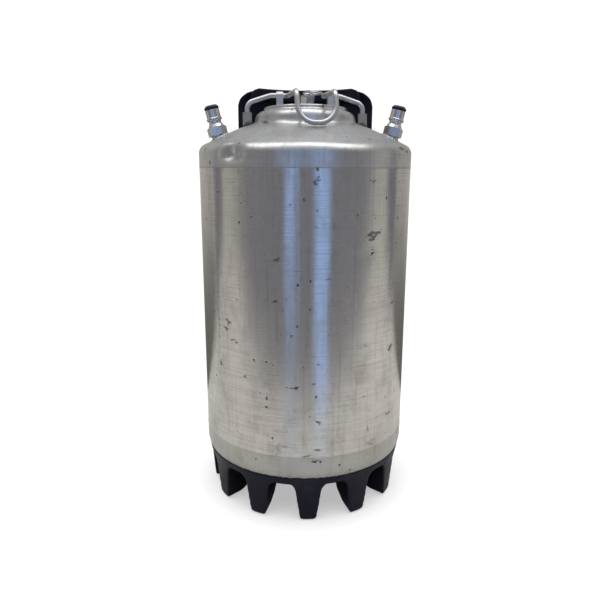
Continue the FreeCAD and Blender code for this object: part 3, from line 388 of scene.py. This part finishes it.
KNUCKLE = (98.20, 358.5)
SHOULDER = np.array((102.63, 367.19))
CROWN_START = np.array((47.0, 390.4))
CROWN_RADIUS = 392.0
KNUCKLE_RADIUS = 9.75
KNUCKLE_TURN = 62.9
NECK_HALVES = (51.0, 61.0)
RIM_HALVES = (42.0, 52.5)
MOUTH_HALVES = (39.0, 50.0)
WALL_TOP = 391.9
RIM_FOOT = 401.0
RIM_TOP = 403.0
LIP_UNDER = 397.1


def crown_centre():
    """Centre of the slope's arc, from its two ends."""
    chord = CROWN_START - SHOULDER
    length = np.linalg.norm(chord)
    normal = np.array((chord[1], -chord[0])) / length
    rise = math.sqrt(CROWN_RADIUS ** 2 - (length / 2) ** 2)
    centre = (SHOULDER + CROWN_START) / 2 - normal * rise
    return centre if centre[1] < SHOULDER[1] else (SHOULDER + CROWN_START) / 2 + normal * rise


CROWN = crown_centre()


def slope(reach, deeper=0.0):
    """Height of the slope, or of a surface under it, at a distance from the axis."""
    return CROWN[1] + np.sqrt((CROWN_RADIUS - deeper) ** 2 - (reach - CROWN[0]) ** 2)


def oval_reach(turn, half_x, half_y):
    return 1 / math.sqrt((math.sin(turn) / half_x) ** 2 + (math.cos(turn) / half_y) ** 2)


def easy_curve(points, count):
    """A smooth curve that starts and ends along the legs of three control points."""
    share = np.linspace(0, 1, count)[:, None]
    first, middle, last = (np.asarray(point, float) for point in points)
    return first * (1 - share) ** 2 + 2 * middle * share * (1 - share) + last * share ** 2


def head_profile(turn, low):
    """Closed profile of the top head at an azimuth: up the skirt, over the neck and back inside."""
    neck = oval_reach(turn, *NECK_HALVES)
    rim = oval_reach(turn, *RIM_HALVES)
    mouth = oval_reach(turn, *MOUTH_HALVES)
    cavity = neck - 2.2
    shoulder = neck - 7.6
    start = neck + 3.6
    neck_top = (neck - 0.3, WALL_TOP)
    parts = [
        line((TANK_RADIUS, low), (TANK_RADIUS, 357.6), 12)[:-1],
        arc(KNUCKLE, KNUCKLE_RADIUS, 0, KNUCKLE_TURN, 16)[:-1],
        [(reach, slope(reach)) for reach in np.linspace(SHOULDER[0], start, 44)[:-1]],
        easy_curve(((start, slope(start)), (neck + 0.5, slope(neck + 0.5)), neck_top), 9)[:-1],
        easy_curve((neck_top, (neck - 1.6, 398.4), (shoulder, 399.3)), 14)[:-1],
        easy_curve(((shoulder, 399.3), (rim + 0.1, 399.4), (rim, RIM_FOOT)), 7)[:-1],
        easy_curve(((rim, RIM_FOOT), (rim, RIM_TOP), (rim - 1.2, RIM_TOP)), 7)[:-1],
        easy_curve(((mouth + 1.2, RIM_TOP), (mouth, RIM_TOP), (mouth, RIM_TOP - 1.2)), 7)[:-1],
        line((mouth, RIM_TOP - 1.2), (mouth, LIP_UNDER), 4)[:-1],
        line((mouth, LIP_UNDER), (cavity - 3.0, LIP_UNDER), 5)[:-1],
        easy_curve(((cavity - 3.0, LIP_UNDER), (cavity, LIP_UNDER), (cavity, 393.0)), 6)[:-1],
        line((cavity, 393.0), (cavity, slope(cavity, SHEET)), 4)[:-1],
        [(reach, slope(reach, SHEET)) for reach in np.linspace(cavity, SHOULDER[0] - 0.7, 24)[:-1]],
        arc(KNUCKLE, KNUCKLE_RADIUS - SHEET, KNUCKLE_TURN, 0, 10)[:-1],
        line((TANK_RADIUS - SHEET, KNUCKLE[1]), (TANK_RADIUS - SHEET, low), 6),
    ]
    return np.concatenate([np.asarray(part, float) for part in parts])


# Place, half widths and depth of each knock in the head. The first is the dent in the left shoulder.
HEAD_KNOCKS = (
    ((-66.0, -84.0, 357.5), (11.0, 11.0, 8.0), 5.0),
    ((-74.0, -76.0, 368.5), (14.0, 12.0, 4.5), -0.8),
    ((-86.0, -62.0, 369.5), (9.0, 9.0, 6.0), 0.9),
    ((48.0, -92.0, 366.0), (16.0, 10.0, 8.0), 0.7),
    ((-12.0, -86.0, 375.0), (18.0, 12.0, 9.0), 0.5),
    ((30.0, -78.0, 379.0), (9.0, 7.0, 7.0), 0.5),
    ((96.0, 40.0, 366.0), (12.0, 14.0, 10.0), 1.2),
)


def pushed_in(points):
    """Hand the pressed head its knocks, on a skin that is a little uneven all over."""
    inward = points - np.array((0.0, 0.0, 340.0))
    inward = -inward / np.linalg.norm(inward, axis=1)[:, None]
    x, y, z = points.T
    uneven = (np.sin(x / 8.5 + 1.3) * np.sin(y / 10.5 + z / 19) + 0.8 * np.sin(x / 5.3 - y / 6.9 + 2.1)
              + 0.6 * np.sin(x / 13 + y / 4.9 + 0.4))
    points = points + inward * (0.16 * (uneven + 1.9) * np.clip((395 - z) / 8, 0, 1))[:, None]
    for place, widths, depth in HEAD_KNOCKS:
        offset = (points - np.array(place)) / np.array(widths)
        points = points + inward * (depth * np.exp(-(offset ** 2).sum(axis=1)))[:, None]
    return points


def build_top_head():
    """Top head as one pressed sheet. The knocks fade in above the seam, so its edge stays round."""
    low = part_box("top_dome")[0].z / MM
    turns = np.linspace(-np.pi, np.pi, AZIMUTHS, endpoint=False)
    profiles = np.stack([head_profile(turn, low) for turn in turns], axis=1)
    rows = [around(turns, row[:, 0], row[:, 1]) for row in profiles]
    points, faces = skin(rows)
    free = np.clip((points[:, 2] - low - 0.5) / 7, 0, 1)[:, None]
    points = points * (1 - free) + pushed_in(points) * free
    new_piece("top_head_sheet", points, faces, HEAD_STEEL, "head_steel", "top_dome")


def build_top_seam():
    """Ground butt weld between barrel and top head: a shallow groove with a faint bead in it."""
    low, high = (corner.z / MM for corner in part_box("top_seam_weld"))
    turns = np.linspace(-np.pi, np.pi, AZIMUTHS, endpoint=False)
    middle = (low + high) / 2
    outer = ((0.0, low), (-0.05, low + 0.2), (-0.03, middle), (-0.05, high - 0.2), (0.0, high))
    inner = ((-SHEET, high), (-SHEET - 0.15, middle), (-SHEET, low))
    rows = []
    for depth, height in outer + inner:
        ripple = 0.02 * np.sin(137 * turns) + 0.02 * np.sin(61 * turns + 2)
        rows.append(around(turns, TANK_RADIUS + depth + ripple, np.full(AZIMUTHS, height)))
    points, faces = skin(rows)
    new_piece("top_seam_bead", points, faces, BEAD_STEEL, "weld", "top_seam_weld")


def build_port_weld(name, side):
    """Fillet weld where a tilted port stands on the slope."""
    turns = np.linspace(0, 2 * np.pi, 96, endpoint=False)
    rows = []
    for reach, lift in ((7.2, -0.9), (11.8, -0.5), (11.2, 0.25), (10.0, 1.0), (8.8, 1.5), (7.2, 1.7)):
        wave = 1 + 0.035 * np.sin(23 * turns) + 0.02 * np.sin(9 * turns + 1)
        across = reach * (wave if reach > 8 else 1) * np.cos(turns) / math.cos(POST_LEAN)
        along = reach * (wave if reach > 8 else 1) * np.sin(turns)
        x = side * (POST_OFFSET + across)
        height = slope(np.hypot(x, along)) + lift
        x = x + side * math.tan(POST_LEAN) * (height - POST_FOOT)
        rows.append(np.stack([x, along, height], axis=-1))
    points, faces = skin(rows)
    new_piece(name, points, faces, BEAD_STEEL, "weld")


# --- moulded rubber ----------------------------------------------------------------------------


def moulded(name, node, made, grain, rounds):
    """The CAD solid's shape with moulded edges: meshed evenly and smoothed."""
    piece = bpy.data.objects.new(name, NODES[node].data.copy())
    bpy.context.scene.collection.objects.link(piece)
    even = piece.modifiers.new("even", "REMESH")
    even.mode = "VOXEL"
    even.voxel_size = grain
    even.use_smooth_shade = True
    soft = piece.modifiers.new("soft", "SMOOTH")
    soft.factor = 0.5
    soft.iterations = rounds
    graph = bpy.context.evaluated_depsgraph_get()
    mesh = bpy.data.meshes.new_from_object(piece.evaluated_get(graph))
    mesh.materials.clear()
    mesh.materials.append(made)
    mesh.shade_smooth()
    piece.modifiers.clear()
    piece.data = mesh
    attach(piece, "tank")
    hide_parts(node)
    return piece


# --- springs -----------------------------------------------------------------------------------


def coil(name, node, body):
    """A CAD spring again, as a piece of its own on a body."""
    piece = bpy.data.objects.new(name, NODES[node].data.copy())
    bpy.context.scene.collection.objects.link(piece)
    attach(piece, body)
    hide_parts(node)
    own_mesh(piece)


def build_springs():
    """Poppet springs go on the tank, and the relief valve's spring on the lid."""
    for fluid, side in (("liquid", -1), ("gas", 1)):
        coil(f"{fluid}_spring_coil", f"{fluid}_poppet_spring", "tank")
    coil("relief_spring_coil", "relief_valve_spring", "lid")


build_springs()
build_barrel()
build_top_head()
build_top_seam()
build_port_weld("liquid_port_weld", -1)
build_port_weld("gas_port_weld", 1)
moulded("handle_moulding", "handle_grip", HANDLE_RUBBER, grain=0.0009, rounds=9)
moulded("boot_moulding", "base_boot", BOOT_RUBBER, grain=0.0011, rounds=6)

# --- stage -------------------------------------------------------------------------------------


DIM_WALL = (0.21, 0.21, 0.24)
PALE_WALL = (0.50, 0.49, 0.46)
DARK_BEHIND = (0.14, 0.14, 0.13)
COOL_PANEL = (0.40, 0.60, 1.05)
CEILING = (0.50, 0.52, 0.55)
WHITE = (1, 1, 1)


def seen_white(graph, plain, white):
    """The camera sees white, and everything else sees the plain surface or the room."""
    rays = graph.tree.nodes.new("ShaderNodeLightPath")
    both = graph.add("ShaderNodeMixShader", Fac=rays.outputs["Is Camera Ray"])
    graph.tree.links.new(plain.outputs[0], both.inputs[1])
    graph.tree.links.new(white.outputs[0], both.inputs[2])
    graph.tree.links.new(both.outputs[0], graph.end.inputs["Surface"])


def build_floor():
    """Plain pale table top, seen nearly white, with a soft shadow round the keg's foot."""
    mesh = bpy.data.meshes.new("floor")
    left, right, front, back = -1.8, 1.8, -0.42, 0.25
    corners = [(left, front, 0), (right, front, 0), (right, back, 0), (left, back, 0)]
    mesh.from_pydata(corners, [], [(0, 1, 2, 3)])
    floor = bpy.data.objects.new("floor", mesh)
    bpy.context.scene.collection.objects.link(floor)
    made, graph = material("floor_paper")
    mesh.materials.append(made)
    spot = graph.add("ShaderNodeVectorMath", Vector=graph.place((1, 1, 0)))
    spot.operation = "LENGTH"
    paper = graph.add("ShaderNodeBsdfDiffuse", Color=(0.94, 0.925, 0.90))
    glow = graph.add("ShaderNodeEmission", Color=WHITE, Strength=1.1)
    away = graph.band(spot.outputs["Value"], 0.104, 0.155, 0.4, 1.0)
    white = graph.add("ShaderNodeMixShader", Fac=away)
    graph.tree.links.new(paper.outputs[0], white.inputs[1])
    graph.tree.links.new(glow.outputs[0], white.inputs[2])
    table = graph.add("ShaderNodeBsdfDiffuse", Color=(0.57, 0.555, 0.52))
    seen_white(graph, table, white)


def build_room():
    """Soft studio surroundings: dim in front and low behind, pale beside, with two tall cool panels."""
    world = bpy.data.worlds.new("studio")
    bpy.context.scene.world = world
    graph = Graph(world, "ShaderNodeOutputWorld")
    direction = graph.add("ShaderNodeTexCoord").outputs["Generated"]
    split = graph.add("ShaderNodeSeparateXYZ", Vector=direction)
    x, y, z = split.outputs
    turn = graph.calc("ARCTAN2", x, graph.calc("MULTIPLY", y, -1.0))
    azimuth = graph.calc("MULTIPLY", turn, math.degrees(1))
    turned = graph.calc("ABSOLUTE", azimuth)
    walls = graph.mix(graph.band(turned, 60, 90), DIM_WALL, PALE_WALL)
    corner = graph.calc("ABSOLUTE", graph.calc("SUBTRACT", turned, 105))
    walls = graph.mix(graph.band(corner, 12, 4), walls, DIM_WALL)
    low_behind = graph.calc("MULTIPLY", graph.band(turned, 108, 122), graph.band(z, -0.02, -0.25))
    walls = graph.mix(low_behind, walls, DARK_BEHIND)
    for middle, half_wide, lowest in ((-14, 6, -0.20), (18, 7, -0.40)):
        off = graph.calc("ABSOLUTE", graph.calc("SUBTRACT", azimuth, middle))
        beside = graph.band(off, half_wide + 4, half_wide - 3)
        above = graph.band(z, lowest - 0.10, lowest + 0.10)
        walls = graph.mix(graph.calc("MULTIPLY", beside, above), walls, COOL_PANEL)
    colour = graph.mix(graph.band(z, 0.25, 0.8), walls, CEILING)
    room = graph.add("ShaderNodeBackground", Color=colour, Strength=1.0)
    white = graph.add("ShaderNodeBackground", Color=WHITE, Strength=1.1)
    seen_white(graph, room, white)


def add_light(name, place, target, size, power, seen_in_metal=True, lights_surfaces=True):
    """A soft rectangular lamp, which the camera doesn't see."""
    light = bpy.data.lights.new(name, "AREA")
    light.shape = "RECTANGLE"
    light.size, light.size_y = size
    light.energy = power
    lamp = bpy.data.objects.new(name, light)
    lamp.location = place
    lamp.rotation_euler = (Vector(target) - Vector(place)).to_track_quat("-Z", "Y").to_euler()
    lamp.visible_camera = False
    lamp.visible_glossy = seen_in_metal
    lamp.visible_diffuse = lights_surfaces
    bpy.context.scene.collection.objects.link(lamp)


def build_camera():
    """The camera stands 0.63 m in front of the keg's axis, a little above its middle."""
    lens = bpy.data.cameras.new("camera")
    lens.lens = 35.33
    lens.sensor_width = 36
    lens.shift_x = -0.0074
    lens.shift_y = 0.0143
    camera = bpy.data.objects.new("camera", lens)
    camera.location = (0, -0.6275, 0.345)
    camera.rotation_euler = (math.radians(90 - 13.44), math.radians(-0.225), math.radians(0.054))
    bpy.context.scene.collection.objects.link(camera)
    bpy.context.scene.camera = camera


build_floor()
build_room()
add_light("softbox_wide", (0.0, -0.1, 1.8), (0, 0, 0.1), (3.2, 3.2), 62, seen_in_metal=False)
add_light("softbox_glint", (0.0, -0.25, 1.7), (0, 0, 0.1), (2.6, 1.0), 18, lights_surfaces=False)
build_camera()
bpy.context.scene.view_settings.view_transform = "Standard"
bpy.context.scene.view_settings.look = "None"
